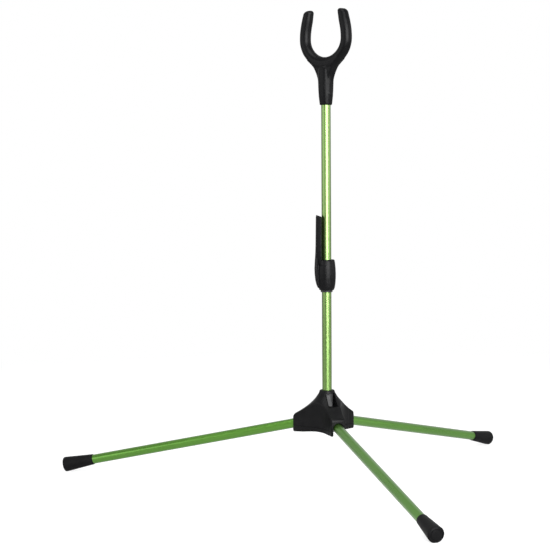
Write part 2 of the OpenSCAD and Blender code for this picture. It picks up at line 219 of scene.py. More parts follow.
def surface_net(field, lo, hi, step):
    """A quad mesh of field = 0 between two corners: one point in each cell that the surface
    crosses, moved onto the surface, and one face across each grid edge that it crosses."""
    axes = [np.arange(lo[i] - step, hi[i] + 1.5 * step, step) for i in range(3)]
    grid = np.stack(np.meshgrid(*axes, indexing="ij"), -1)
    value = field(grid[..., 0], grid[..., 1], grid[..., 2])
    inside = value < 0
    n = np.array(value.shape) - 1
    count = np.zeros(n, int)
    total = np.zeros((*n, 3))
    for axis in range(3):
        others = [i for i in range(3) if i != axis]
        a = [slice(None)] * 3
        b = [slice(None)] * 3
        a[axis], b[axis] = slice(0, -1), slice(1, None)
        va, vb = value[tuple(a)], value[tuple(b)]
        crossed = (va < 0) != (vb < 0)
        t = np.where(crossed, va / np.where(crossed, va - vb, 1), 0)
        point = grid[tuple(a)].copy()
        point[..., axis] += t * step
        for d0 in (0, 1):
            for d1 in (0, 1):
                cut = [slice(None)] * 3
                cut[others[0]] = slice(d0, n[others[0]] + d0)
                cut[others[1]] = slice(d1, n[others[1]] + d1)
                c = crossed[tuple(cut)]
                count += c
                total += np.where(c[..., None], point[tuple(cut)], 0)
    used = count > 0
    index = np.full(n, -1)
    index[used] = np.arange(used.sum())
    verts = total[used] / count[used][:, None]
    faces = []
    for axis in range(3):
        o0, o1 = [(1, 2), (2, 0), (0, 1)][axis]
        a = [slice(1, -1)] * 3
        b = [slice(1, -1)] * 3
        a[axis], b[axis] = slice(0, -1), slice(1, None)
        ia, ib = inside[tuple(a)], inside[tuple(b)]
        start = np.array([1, 1, 1])
        start[axis] = 0
        for flip in (False, True):
            where = np.argwhere((ib & ~ia) if flip else (ia & ~ib)) + start
            ring = []
            for d0, d1 in ((0, 0), (1, 0), (1, 1), (0, 1)):
                cell = where.copy()
                cell[:, o0] -= 1 - d0
                cell[:, o1] -= 1 - d1
                ring.append(index[tuple(cell.T)])
            faces.append(np.stack(ring[::-1] if flip else ring, 1))
    return settled(field, verts, step), np.concatenate(faces)


def lathe(outline, turns=96):
    """Points and faces of [along, radius] turned about x; an outline starts and ends anywhere."""
    outline = np.array(outline, float)
    angle = np.arange(turns) * 2 * math.pi / turns
    rows, verts = [], []
    for along, r in outline:
        if r == 0:
            rows.append([len(verts)] * turns)
            verts.append((along, 0, 0))
        else:
            rows.append(list(range(len(verts), len(verts) + turns)))
            verts += [(along, r * math.cos(a), r * math.sin(a)) for a in angle]
    faces = []
    for r0, r1 in zip(rows, rows[1:]):
        for i in range(turns):
            j = (i + 1) % turns
            ring = [r0[i], r0[j], r1[j], r1[i]]
            face = [v for k, v in enumerate(ring) if v != ring[k - 1]]
            if len(face) > 2:
                faces.append(face)
    return verts, faces


def closed(outline):
    """The outline with its first point again at its end."""
    return list(outline) + [outline[0]]


def edge_arc(cx, cr, r, a0, a1, steps=6):
    """Points of a rounded edge in an [along, radius] outline."""
    out = []
    for k in range(steps + 1):
        a = math.radians(a0 + (a1 - a0) * k / steps)
        out.append((cx + r * math.cos(a), cr + r * math.sin(a)))
    return out


UPRIGHT = Matrix.Rotation(math.radians(-90), 4, "Y")   # takes x up to z


# ---------------------------------------------------------------- materials

class Nodes:
    """Short calls for building a material's nodes. Values are sockets or plain numbers."""

    def __init__(self, name, grain=True):
        self.grain = grain
        self.material = bpy.data.materials.new(name)
        self.material.use_nodes = True
        self.tree = self.material.node_tree
        self.shader = self.tree.nodes["Principled BSDF"]

    def add(self, kind, inputs=(), **settings):
        node = self.tree.nodes.new(kind)
        for key, value in settings.items():
            setattr(node, key, value)
        for key, value in dict(inputs).items():
            if isinstance(value, bpy.types.NodeSocket):
                self.tree.links.new(value, node.inputs[key])
            else:
                node.inputs[key].default_value = value
        return node

    def link(self, value, socket):
        self.tree.links.new(value, self.shader.inputs[socket])

    def place(self, scale=(1, 1, 1)):
        """Coordinates for patterns: the piece's own ones, or the object's on a CAD node."""
        if self.grain:
            coords = self.add("ShaderNodeAttribute", attribute_name="grain").outputs["Vector"]
        else:
            coords = self.add("ShaderNodeTexCoord").outputs["Object"]
        return self.add("ShaderNodeMapping", {"Vector": coords, "Scale": scale}).outputs[0]

    def noise(self, where, scale, detail=3, rough=0.5):
        return self.add("ShaderNodeTexNoise", {
            "Vector": where, "Scale": scale, "Detail": detail, "Roughness": rough
        }).outputs["Fac"]

    def spread(self, value, low, high, start=0.3, end=0.7):
        """A value from start..end spread over low..high."""
        return self.add("ShaderNodeMapRange", {
            "Value": value, "From Min": start, "From Max": end, "To Min": low, "To Max": high
        }).outputs[0]

    def mix(self, factor, a, b):
        """Colours a and b mixed; each is a socket or a colour."""
        node = self.add("ShaderNodeMix", data_type="RGBA")
        for key, value in ((0, factor), (6, a), (7, b)):
            if isinstance(value, bpy.types.NodeSocket):
                self.tree.links.new(value, node.inputs[key])
            else:
                node.inputs[key].default_value = (*value, 1) if key else value
        return node.outputs[2]

    def maths(self, operation, a, b=0.0):
        node = self.add("ShaderNodeMath", operation=operation)
        for key, value in ((0, a), (1, b)):
            if isinstance(value, bpy.types.NodeSocket):
                self.tree.links.new(value, node.inputs[key])
            else:
                node.inputs[key].default_value = value
        return node.outputs[0]

    def bump(self, height, distance, strength, under=None):
        """A bump of that height in metres, on top of another one if given."""
        inputs = {"Height": height, "Distance": distance, "Strength": strength}
        if under is not None:
            inputs["Normal"] = under
        return self.add("ShaderNodeBump", inputs).outputs[0]

    def edges(self, low=0.53, high=0.62):
        """1 along sharp outer edges, 0 on flats and in hollows."""
        point = self.add("ShaderNodeNewGeometry").outputs["Pointiness"]
        return self.spread(point, 0, 1, low, high)


def moulded(name, dark, light, edge_wear_and_highlight, rough, grain, specular):
    """Moulded plastic or rubber: fine spark grain, cloudy gloss, edges a little paler, partly rub
    wear and partly a painted highlight.
    """
    m = Nodes(name)
    where = m.place()
    cloud = m.noise(where, 90, 4, 0.6)
    speck = m.noise(where, 1500, 2, 0.7)
    colour = m.mix(m.spread(cloud, 0, 1), dark, light)
    # Edges are mixed towards a paler colour: partly rub wear, partly a painted highlight where light
    # would catch them
    pale_edges = m.maths("MULTIPLY", m.edges(), m.spread(m.noise(where, 260, 4, 0.7), 0.1, 0.8))
    m.link(m.mix(pale_edges, colour, edge_wear_and_highlight), "Base Color")
    base = m.spread(cloud, rough - 0.06, rough + 0.06)
    m.link(m.maths("ADD", base, m.spread(speck, -0.04, 0.05)), "Roughness")
    fine = m.bump(m.noise(where, grain, 3, 0.6), 0.00003, 0.35)
    m.link(m.bump(m.noise(where, 90, 2, 0.5), 0.00006, 0.3, fine), "Normal")
    m.shader.inputs["Specular IOR Level"].default_value = specular
    return m.material


def anodised(name, deep, bright):
    """Drawn aluminium tube, dyed green and sealed: fine lines along it and a clear skin."""
    m = Nodes(name)
    lines = m.noise(m.place((1, 1, 0.006)), 2600, 3, 0.7)
    cloud = m.noise(m.place((1, 1, 0.12)), 55, 4, 0.6)
    colour = m.mix(m.spread(cloud, 0, 1), deep, bright)
    scuffs = m.noise(m.place((1, 1, 0.25)), 340, 5, 0.8)
    pale_edges = m.maths("MULTIPLY", m.edges(0.56, 0.7), m.spread(scuffs, 0, 1))
    m.link(m.mix(pale_edges, colour, (0.62, 0.66, 0.58)), "Base Color")
    m.link(m.maths("ADD", m.spread(lines, 0.27, 0.33), m.spread(cloud, -0.03, 0.04)), "Roughness")
    m.link(m.bump(lines, 0.000004, 0.3), "Normal")
    m.shader.inputs["Metallic"].default_value = 0.93
    m.shader.inputs["Specular IOR Level"].default_value = 0.5
    m.shader.inputs["Coat Weight"].default_value = 1.0
    m.shader.inputs["Coat IOR"].default_value = 1.5
    m.shader.inputs["Coat Roughness"].default_value = 0.2
    return m.material


def metal(name, dark, light, rough, turned=True, grain=True):
    """Bare metal with turning marks across its axis, or a plated skin without them."""
    m = Nodes(name, grain)
    where = m.place()
    cloud = m.noise(where, 160, 4, 0.6)
    marks = m.noise(m.place((0.02, 0.02, 1) if turned else (1, 1, 1)), 2400, 3, 0.6)
    m.link(m.mix(m.spread(cloud, 0, 1), dark, light), "Base Color")
    m.link(m.maths("ADD", m.spread(marks, rough - 0.05, rough + 0.08),
                   m.spread(cloud, -0.03, 0.05)), "Roughness")
    m.link(m.bump(marks, 0.00002, 0.4), "Normal")
    m.shader.inputs["Metallic"].default_value = 1.0
    return m.material


hub_plastic = moulded(
    "hub_plastic", (0.0030, 0.0030, 0.0034), (0.0048, 0.0048, 0.0053), (0.014, 0.014, 0.015),
    rough=0.40, grain=2600, specular=0.16)
clip_plastic = moulded(
    "clip_plastic", (0.0030, 0.0030, 0.0035), (0.0048, 0.0048, 0.0054), (0.014, 0.014, 0.015),
    rough=0.36, grain=2800, specular=0.16)
dark_plastic = moulded(
    "bush_plastic", (0.014, 0.014, 0.015), (0.02, 0.02, 0.021), (0.05, 0.05, 0.052),
    rough=0.40, grain=2400, specular=0.4)
grey_plastic = moulded(
    "liner_plastic", (0.050, 0.050, 0.051), (0.066, 0.066, 0.067), (0.12, 0.12, 0.12),
    rough=0.5, grain=2200, specular=0.4)
jacket_rubber = moulded(
    "jacket_rubber", (0.0028, 0.0028, 0.0033), (0.0044, 0.0044, 0.0050), (0.012, 0.012, 0.013),
    rough=0.36, grain=1900, specular=0.15)
foot_rubber = moulded(
    "foot_rubber", (0.0032, 0.0032, 0.0036), (0.0052, 0.0052, 0.0057), (0.014, 0.014, 0.015),
    rough=0.44, grain=1700, specular=0.13)
# The mast's green is a little paler than the legs': a painted sheen standing in for the whitish
# reflection along the upright mast
leg_green = anodised("leg_anodised", (0.130, 0.366, 0.035), (0.152, 0.410, 0.045))
mast_green_painted_sheen = anodised("mast_anodised_painted_sheen", (0.200, 0.352, 0.086), (0.225, 0.386, 0.100))
ALUMINIUM = ((0.48, 0.48, 0.5), (0.62, 0.62, 0.64))
bare = metal("bare_aluminium", *ALUMINIUM, rough=0.3)
bare_inner = metal("bare_inner", *ALUMINIUM, rough=0.3, grain=False)
plated = metal("plated_steel", (0.5, 0.5, 0.52), (0.66, 0.66, 0.68), rough=0.28, turned=False)


# ---------------------------------------------------------------- hub

# Heights in this section are above the hub's underside, and x and y are from the mast's axis
STEP = 0.6        # grid of the larger moulded pieces
FINE_STEP = min(STEP, 0.5)
THIRD = 2 * math.pi / 3
WING_REACH, WING_HALF, WING_ROUND = 43.4, 9.2, 2.5
HUB_H = HUB_Z1 - HUB_Z0
WEB_R, PANEL_X = 18.5, 27.0              # middle of a web, and where it meets the wings
SEAM_H, SEAM_GAP = 6.5, 0.12             # between the shell and the base plate
BORE_R = TUBE_R + 1.5
CHANNEL_R = TUBE_R + 0.5
CHANNEL_EDGE = 0.9
MAST_FOOT = mast_lo[2] - HUB_Z0
WINDOW_AT, WINDOW_HALF, WINDOW_ROUND = (25, 1, 41.65), (21, 6.3, 7.85), 0.9
ARCH_R, ARCH_RISE = 120, 1.4             # of the hollow underside between two wings
SCREW_AT, SCREW_SINK_R, BOLT_SINK_R, SINK_H = 13.2, 2.9, 4.7, 4


def web_arc():
    """Radius and centre distance of the round panel between two wings."""
    d = math.hypot(PANEL_X, WING_HALF)
    a = math.radians(60) - math.atan2(WING_HALF, PANEL_X)
    sag = d * math.cos(a) - WEB_R
    chord = d * math.sin(a)
    r = (chord * chord + sag * sag) / (2 * sag)
    return r, WEB_R + r


WEB_ARC_R, WEB_ARC_X = web_arc()


def bezier(a, b, c, n=14):
    """Points of a curve from a to c that b pulls towards itself."""
    t = np.linspace(0, 1, n + 1)[:, None]
    return (1 - t) ** 2 * np.array(a) + 2 * t * (1 - t) * np.array(b) + t * t * np.array(c)


# Half section through a wing, [from the axis, height]: collar, hollow ridge and end face
HUB_PROFILE = [
    (-20, HUB_H), (8.6, HUB_H), (9.4, HUB_H - 0.5),
    *bezier((9.95, 50.5), (16.8, 36), (WING_REACH - 1.9, 22.2)),
    (WING_REACH - 0.6, 20.5), (WING_REACH, 18.3), (WING_REACH, 2), (WING_REACH - 0.6, 0.6),
    (WING_REACH - 1.8, 0), (-20, 0)
]


def turned(x, y, azimuth):
    """Coordinates seen from a frame turned by that azimuth, in radians."""
    c, s = math.cos(azimuth), math.sin(azimuth)
    return x * c + y * s, y * c - x * s


def channel(x, y, z, azimuth):
    """Room for a leg: an arched roof over the tube, open outwards and downwards."""
    u, v = turned(x, y, azimuth)
    w = z - (PIVOT_Z - HUB_Z0)
    u = u - PIVOT_R
    lx = u * math.cos(TILT) - w * math.sin(TILT)
    lz = u * math.sin(TILT) + w * math.cos(TILT)
    along = np.maximum(np.where(lz > 0, np.hypot(v, lz), np.abs(v)) - CHANNEL_R, -lx)
    round_end = np.where(lz > 0, np.hypot(lx, lz), np.abs(lx)) - CHANNEL_R
    return np.minimum(along, np.maximum(np.abs(v) - CHANNEL_R, round_end))


AZIMUTH = {leg: math.atan2(OUTWARD[leg][1], OUTWARD[leg][0]) for leg in LEGS}


def hub_form(x, y, z):
    """Three wings under a hollow ridge, with hollow webs between them."""
    rho = np.hypot(x, y)
    turn = np.arctan2(y, x) - AZIMUTH["rear"]
    turn = (turn + THIRD / 2) % THIRD - THIRD / 2
    u, v = rho * np.cos(turn), np.abs(rho * np.sin(turn))
    qu, qv = u - WING_REACH + WING_ROUND, v - WING_HALF + WING_ROUND
    wing = np.hypot(np.maximum(qu, 0), np.maximum(qv, 0)) + np.minimum(np.maximum(qu, qv), 0)
    wing = wing - WING_ROUND
    cu, cv = WEB_ARC_X * 0.5, WEB_ARC_X * math.sqrt(0.75)
    web = np.maximum(WEB_ARC_R - np.hypot(u - cu, v - cv), u - PANEL_X - 3)
    star = round_min(wing, web, 2.0)
    return round_max(star, polygon(HUB_PROFILE, rho, z), 1.1)


def hub_shell(x, y, z):
    """The hub above the seam, with leg channels, the mast's bore and a window in one ridge."""
    d = round_max(hub_form(x, y, z), SEAM_H + SEAM_GAP - z, 0.3)
    for leg in LEGS:
        d = round_max(d, -channel(x, y, z, AZIMUTH[leg]), CHANNEL_EDGE)
    d = round_max(d, -np.maximum(np.hypot(x, y) - BORE_R, MAST_FOOT - z), 0.5)
    u, v = turned(x, y, AZIMUTH["right"])
    window = rounded_box(
        u - WINDOW_AT[0], v - WINDOW_AT[1], z - WINDOW_AT[2], WINDOW_HALF, WINDOW_ROUND)
    return round_max(d, -window, 0.7)


def base_shell(x, y, z):
    """The plate below the seam, hollow between the wings, with sunk holes for its screws."""
    d = round_max(hub_form(x, y, z), z - SEAM_H + SEAM_GAP, 0.3)
    for leg in LEGS:
        d = round_max(d, -channel(x, y, z, AZIMUTH[leg]), CHANNEL_EDGE)
        u, v = turned(x, y, AZIMUTH[leg] + THIRD / 2)
        arch = np.maximum(np.hypot(v, z + (ARCH_R - ARCH_RISE)) - ARCH_R, -u)
        d = round_max(d, -arch, 0.8)
        sink = np.maximum(np.hypot(u - SCREW_AT, v) - SCREW_SINK_R, z - SINK_H)
        d = round_max(d, -sink, 0.3)
    sink = np.maximum(np.hypot(x, y) - BOLT_SINK_R, z - SINK_H)
    return round_max(d, -sink, 0.3)


def net_piece(name, field, lo, hi, step, body, slot, material, matrix, replaces):
    """A piece meshed from a field that is worked out in the piece's own coordinates."""
    verts, faces = surface_net(field, lo, hi, step)
    make(name, verts, faces, body, slot, material, matrix, replaces)


net_piece("hub_shell", hub_shell, (-45, -45, 5.5), (45, 45, HUB_H + 0.5), STEP, "frame",
          "black_plastic", hub_plastic, at_mast(HUB_Z0), ["hub_body"])
net_piece("hub_base_plate", base_shell, (-45, -45, -0.5), (45, 45, 7), STEP, "frame",
          "black_plastic", hub_plastic, at_mast(HUB_Z0), ["hub_base"])


LINER_GAP = 0.04
# The tab's outline from the side, [from the axis, height], and its place across
TAB = [(6.6, 34.9), (20.3, 34.9), (17.8, 37.3), (13.9, 42.3), (10.9, 48.2), (6.6, 48.2)]
TAB_ACROSS, TAB_HALF = -2.1, 2.5


def liner(x, y, z):
    """Liner round the mast's foot, with the tab that stands in the hub's window."""
    rho = np.hypot(x, y)
    top = HUB_H - 0.4
    ring = round_max(rho - BORE_R + LINER_GAP, np.maximum(z - top, MAST_FOOT - z), 0.4)
    u, v = turned(x, y, AZIMUTH["right"])
    tab = round_max(polygon(TAB, u, z), np.abs(v - TAB_ACROSS) - TAB_HALF, 0.6)
    return round_max(np.minimum(ring, tab), TUBE_R + FIT - rho, 0.2)


net_piece("mast_liner", liner, (-9, -20, 13), (21, 9, HUB_H + 0.5), FINE_STEP, "frame",
          "grey_plastic", grey_plastic, at_mast(HUB_Z0), ["mast_socket"])


# ---------------------------------------------------------------- tubes, pins and screws

OUTER_EDGE, INNER_EDGE = 0.25, 0.2       # broken edges of a tube's ends
END_RING = 1.0


def tube(name, start, length, body, node, matrix, material):
    """A tube along its own z, so that its drawn lines follow it. Its first and last rings keep the
    shading of the broken edges off the rest of the tube."""
    r, inner = TUBE_R, TUBE_R - TUBE_WALL
    outline = closed([
        (OUTER_EDGE, r), (END_RING, r), (length - END_RING, r), (length - OUTER_EDGE, r),
        (length, r - OUTER_EDGE), (length, inner + INNER_EDGE), (length - INNER_EDGE, inner),
        (INNER_EDGE, inner), (0, inner + INNER_EDGE), (0, r - OUTER_EDGE)
    ])
    verts, faces = lathe(outline, 72)
    verts = [(y, z, x + start) for x, y, z in verts]
    make(name, verts, faces, body, "green_tube", material, matrix, [node])


Z_TO_X = Matrix.Rotation(math.radians(90), 4, "Y")
tube("mast", 0, mast_hi[2] - mast_lo[2], "frame", "mast_tube", at_mast(mast_lo[2]), mast_green_painted_sheen)
for leg in LEGS:
    tube("tube_" + leg, ROOT_L, LEG_TUBE_L, leg + "_leg", "leg_tube_" + leg,
         leg_matrix(leg) @ Z_TO_X, leg_green)

PIN_R, PIN_HALF, PIN_EDGE = 2, 8.6, 0.3
PLUG_L = 28.0           # from the pin to the plug's inner end
NECK_HALF = 3.7         # half of the visible part between the pin and the tube


def root(x, y, z):
    """End plug of a leg, with the eye that turns on the hinge pin."""
    eye = round_max(np.hypot(x, z) - TUBE_R + 0.1, np.abs(y) - TUBE_R - 0.2, 0.5)
    neck = round_max(np.hypot(y, z) - TUBE_R + FIT, np.abs(x - NECK_HALF) - NECK_HALF, 0.4)
    plug = np.maximum(
        np.hypot(y, z) - TUBE_R + TUBE_WALL + FIT, np.abs(x - PLUG_L / 2) - PLUG_L / 2)
    d = np.minimum(round_min(eye, neck, 0.6), plug)
    return round_max(d, PIN_R + 0.05 - np.hypot(x, z), 0.3)


root_mesh = surface_net(root, (-7, -7, -7), (PLUG_L + 1, 7, 7), min(STEP, 0.6))
for leg in LEGS:
    make("root_" + leg, *root_mesh, leg + "_leg", "bare_aluminium", bare, leg_matrix(leg),
         ["leg_root_" + leg])


def joined(parts):
    """One set of points and faces from several."""
    verts, faces = [], []
    for v, f in parts:
        faces += [[i + len(verts) for i in face] for face in f]
        verts += list(v)
    return verts, faces


def hinge_pins():
    half, r = PIN_HALF, PIN_R
    verts, faces = lathe([
        (-half, 0), (-half, r - PIN_EDGE), (PIN_EDGE - half, r), (half - PIN_EDGE, r),
        (half, r - PIN_EDGE), (half, 0)
    ], 40)
    pins = []
    for leg in LEGS:
        m = np.array(leg_matrix(leg))
        pins.append(([m[:3, :3] @ np.array((y, x, z)) + m[:3, 3] / MM for x, y, z in verts], faces))
    make("hinge_pins", *joined(pins), "frame", "steel", plated, replaces=["leg_pins"])


hinge_pins()


def cross_screw(x, y, z):
    """Small screw seen from below: a domed head with a cross recess, head down."""
    rho = np.hypot(x, y)
    head = round_max(rho - 2.6, np.abs(z + 0.85) - 0.85, 0.5)
    arm = np.minimum(np.maximum(np.abs(x) - 0.36, np.abs(y) - 1.5),
                     np.maximum(np.abs(y) - 0.36, np.abs(x) - 1.5))
    head = round_max(head, -np.maximum(arm, np.abs(z + 1.7) - 0.95), 0.12)
    return np.minimum(head, np.maximum(rho - 1.25, np.abs(z - 5.9) - 6.1))


def socket_screw(x, y, z):
    """The mast's screw: a round head with a six-sided socket, head down."""
    rho = np.hypot(x, y)
    head = round_max(rho - 3.7, np.abs(z + 1.2) - 1.2, 0.4)
    turn = (np.arctan2(y, x) + math.pi / 6) % (math.pi / 3) - math.pi / 6
    recess = np.maximum(rho * np.cos(turn) - 1.65, np.abs(z + 2.4) - 1.4)
    head = round_max(head, -recess, 0.12)
    return np.minimum(head, np.maximum(rho - 2, np.abs(z - 8) - 8.2))


SCREW_STEP = 0.2
WASHER = closed([(0.1, 4.4), (0.7, 4.4), (0.8, 4.3), (0.8, 2.1), (0, 2.1), (0, 4.3)])


def base_screws():
    verts, faces = surface_net(cross_screw, (-2.8, -2.8, -1.9), (2.8, 2.8, 12.2), SCREW_STEP)
    screws = []
    for leg in LEGS:
        a = AZIMUTH[leg] + THIRD / 2
        place = np.array((MAST[0] + SCREW_AT * math.cos(a), MAST[1] + SCREW_AT * math.sin(a),
                          HUB_Z0 + SINK_H))
        screws.append((verts + place, faces))
    make("base_screws", *joined(screws), "frame", "steel", plated, replaces=["hub_screws"])


def mast_bolt():
    """The screw and washer that pull the mast into the hub, and the inner parts left as in CAD."""
    washer_z = box_mm("mast_washer")[0][2]
    net_piece("mast_bolt", socket_screw, (-4, -4, -2.6), (4, 4, 16.4), SCREW_STEP, "frame",
              "steel", plated, at_mast(washer_z), ["mast_screw"])
    make("mast_bolt_washer", *lathe(WASHER, 56), "frame", "steel", plated,
         at_mast(washer_z) @ UPRIGHT, ["mast_washer"])
    for node in ("mast_plug", "fork_core"):
        mesh = frame["nodes"][node].data
        mesh.materials.clear()
        mesh.materials.append(bare_inner)


base_screws()
mast_bolt()


# ---------------------------------------------------------------- fork

# The fork's centre line: a floor arc, a side arc up to its widest place, and a prong that leans in
STAND_H = fork_hi[2]
FORK_HALF, SIDE_R, LEAN_R, LEAN = 33.7, 27.0, 70.0, math.radians(13)
PRONG_R, FORK_DROP = 7.0, 30.0
PRONG_END = 30.0                         # straight end, longer than it needs before it is cut
BAR_Z = STAND_H - 65.8
WIDEST_Z = BAR_Z + FORK_DROP
CORNER = 2 * math.atan((FORK_DROP - SIDE_R) / (FORK_HALF - SIDE_R))
FLOOR_R = SIDE_R + (FORK_HALF - SIDE_R) / math.sin(CORNER)
FLOOR_Z = BAR_Z + FLOOR_R                # centre of the floor arc
TAPER, TAPER_L = 0.8, 14.0
TIP_X, TIP_SLOPE, TIP_ROUND = 27.0, math.radians(7), 4.2
# The web is bounded by an arc on each side that runs from the prong down to the sleeve
WEB_HALF, WEB_DEPTH = 6, 6
FLARE_R, FLARE_X, FLARE_SINK = 50.0, 59.35, 0.8
FLARE_DROP = math.sqrt((FLOOR_R + PRONG_R + FLARE_R - FLARE_SINK) ** 2 - FLARE_X ** 2)
FLARE_Z = FLOOR_Z - FLARE_DROP
SLEEVE_Z0 = fork_lo[2]
SLEEVE = [
    (-20, 0), (6.5, 0), (7.4, 0.3), (7.8, 1.2), (8.95, 11.5), (9.4, 19.5), (9.7, 28.5),
    (9.7, 40), (9.55, 43.5), (8.9, 46.8), (7.0, 49.2), (3.6, 50.2), (0, 50.3), (-20, 50.3)
]


def fork_jacket(x, y, z):
    """Rubber jacket: round prongs, flared web and the sleeve over the mast's top."""
    u = np.abs(x)
    line = arc(u, z, (0, FLOOR_Z), FLOOR_R, 180, 270 + math.degrees(CORNER))
    side = arc(u, z, (FORK_HALF - SIDE_R, WIDEST_Z), SIDE_R, math.degrees(CORNER) - 90, 0)
    lean = arc(u, z, (FORK_HALF - LEAN_R, WIDEST_Z), LEAN_R, 0, math.degrees(LEAN))
    bend = np.array((FORK_HALF - LEAN_R * (1 - math.cos(LEAN)),
                     WIDEST_Z + LEAN_R * math.sin(LEAN)))
    tip = bend + PRONG_END * np.array((-math.sin(LEAN), math.cos(LEAN)))
    straight = segment(u, z, bend, tip)
    centre = np.minimum(np.minimum(line, side), np.minimum(lean, straight))
    prongs = np.hypot(centre, y) - PRONG_R + TAPER * np.clip((z - STAND_H) / TAPER_L + 1, 0, 1)
    # Each tip is cut across, falling a little outwards, with a well rounded edge
    cut = (u - TIP_X) * math.sin(TIP_SLOPE) + (z - STAND_H + 0.1) * math.cos(TIP_SLOPE)
    prongs = round_max(prongs, cut, TIP_ROUND)
    web = np.maximum(FLARE_R - np.hypot(u - FLARE_X, z - FLARE_Z),
                     FLOOR_R - np.hypot(u, z - FLOOR_Z))
    # It ends below the line between the two arcs' centres, and just under the flare's narrowest place
    web = np.maximum(web, np.maximum(
        FLARE_Z - WEB_DEPTH - z,
        (u * FLARE_DROP + (z - FLOOR_Z) * FLARE_X) / math.hypot(FLARE_DROP, FLARE_X)
    ))
    rim = np.hypot(np.maximum(web + WEB_HALF, 0), y)
    web = np.where(web > -WEB_HALF, rim, np.abs(y)) - WEB_HALF
    sleeve = polygon(SLEEVE, np.hypot(x, y), z - SLEEVE_Z0)
    d = round_min(round_min(prongs, web, 3.0), sleeve, 0.9)
    bore = np.maximum(np.hypot(x, y) - TUBE_R - FIT, z - mast_hi[2])
    return round_max(d, -bore, 0.4)


net_piece("fork_jacket", fork_jacket, (-43, -10.5, SLEEVE_Z0 - 0.5), (43, 10.5, STAND_H + 0.8),
          STEP, "frame", "rubber", jacket_rubber, at_mast(), ["fork_cover"])


# ---------------------------------------------------------------- string clip

# Heights in this section are above the bush's lower end
CLIP_Z = box_mm("clip_bush")[0][2]
CLIP_TURN = math.radians(222.7)          # azimuth of the tongue
BUSH_R, RUNNING = 7.5, 0.06              # and the running clearance inside and outside the bush
COLLAR_R, COLLAR_LO, COLLAR_HI = 8.5, 15, 25   # keeps the clip from sliding along the bush
BUSH = closed([
    (0.4, BUSH_R), (COLLAR_LO, BUSH_R), (COLLAR_LO + 1, COLLAR_R), (COLLAR_HI - 1, COLLAR_R),
    (COLLAR_HI, BUSH_R), (39.6, BUSH_R), (40, 7.1), (40, 6.4), (39.7, TUBE_R + RUNNING),
    (0.3, TUBE_R + RUNNING), (0, 6.4), (0, 7.1)
])
make("bush", *lathe(BUSH, 72), "bush", "dark_plastic", dark_plastic,
     at_mast(CLIP_Z) @ UPRIGHT, ["clip_bush"])
# Half sections, [from the axis, height], of the barrel, of the rib and of the tongue's wall
BARREL = [
    (0, 2.4), (8.4, 2.4), (9.3, 3.1), (10.5, 6.5), (11.2, 11.5), (11.6, 18), (11.65, 24),
    (11.4, 30), (10.95, 35), (10.45, 39), (10, 40.4), (9.2, 41), (0, 41)
]
TONGUE_RI, TONGUE_H, CROWN_R = 10.3, 97.3, 17.5
RIB = [
    (9.0, 5.5), (9.0, 40), (10.8, 41.4), (10.8, 58), (13.7, 58), (14.3, 47), (14.9, 38),
    (15.3, 30), (15.1, 23), (14.3, 15.5), (12.9, 9.5), (11.2, 5.5)
]
RIB_HALF = math.radians(28)
WALL = [
    (9.0, 33), (9.0, 40), (TONGUE_RI, 41.4), (TONGUE_RI, TONGUE_H - 2.6),
    (TONGUE_RI + 0.7, TONGUE_H - 1.2), (12.3, TONGUE_H), (12.9, TONGUE_H - 0.3),
    (13.3, TONGUE_H - 3), (13.6, 75), (13.9, 52), (13.4, 42), (12, 36), (10.6, 33)
]
WALL_HALF = math.radians(57)


def sector(rho, angle, half):
    """Distance to the sides of a wedge about the axis, negative inside."""
    past = angle - half
    return np.where(past < math.pi / 2, rho * np.sin(np.minimum(past, math.pi / 2)), rho)


def string_clip(x, y, z):
    """Barrel that turns on the bush; a rib on its side carries a tongue curved round the mast."""
    rho = np.hypot(x, y)
    u, v = turned(x, y, CLIP_TURN)
    angle = np.abs(np.arctan2(v, u))
    rib = round_max(polygon(RIB, rho, z), sector(rho, angle, RIB_HALF), 0.9)
    wall = round_max(polygon(WALL, rho, z), sector(rho, angle, WALL_HALF), 0.9)
    rise = z - TONGUE_H + CROWN_R
    crown = np.where(rise > 0, np.hypot(v, rise), np.abs(v)) - CROWN_R
    wall = round_max(wall, crown, 0.8)
    d = round_min(round_min(polygon(BARREL, rho, z), wall, 0.5), rib, 0.3)
    groove = np.where((z > COLLAR_LO) & (z < COLLAR_HI), COLLAR_R + RUNNING - rho, -COLLAR_R)
    bore = np.maximum(BUSH_R + RUNNING - rho, groove)
    return round_max(d, bore, 0.35)


net_piece("string_clip_shell", string_clip, (-17, -17, 1.5), (17, 17, 98), FINE_STEP, "clip",
          "black_plastic", clip_plastic, at_mast(CLIP_Z), ["string_clip"])


# ---------------------------------------------------------------- feet

FOOT_L, FOOT_R, FOOT_MOUTH, FOOT_EDGE = 41.0, 9.65, TUBE_R + 0.75, 2.2
MOUTH_EDGE, GRIP_L = 0.45, 9            # rounding of the mouth, and rubber shown inside it
DISC_R, GROOVE_EDGE, GROOVE_DEPTH, DISC_EDGE = 6.4, 0.35, 0.8, 0.4


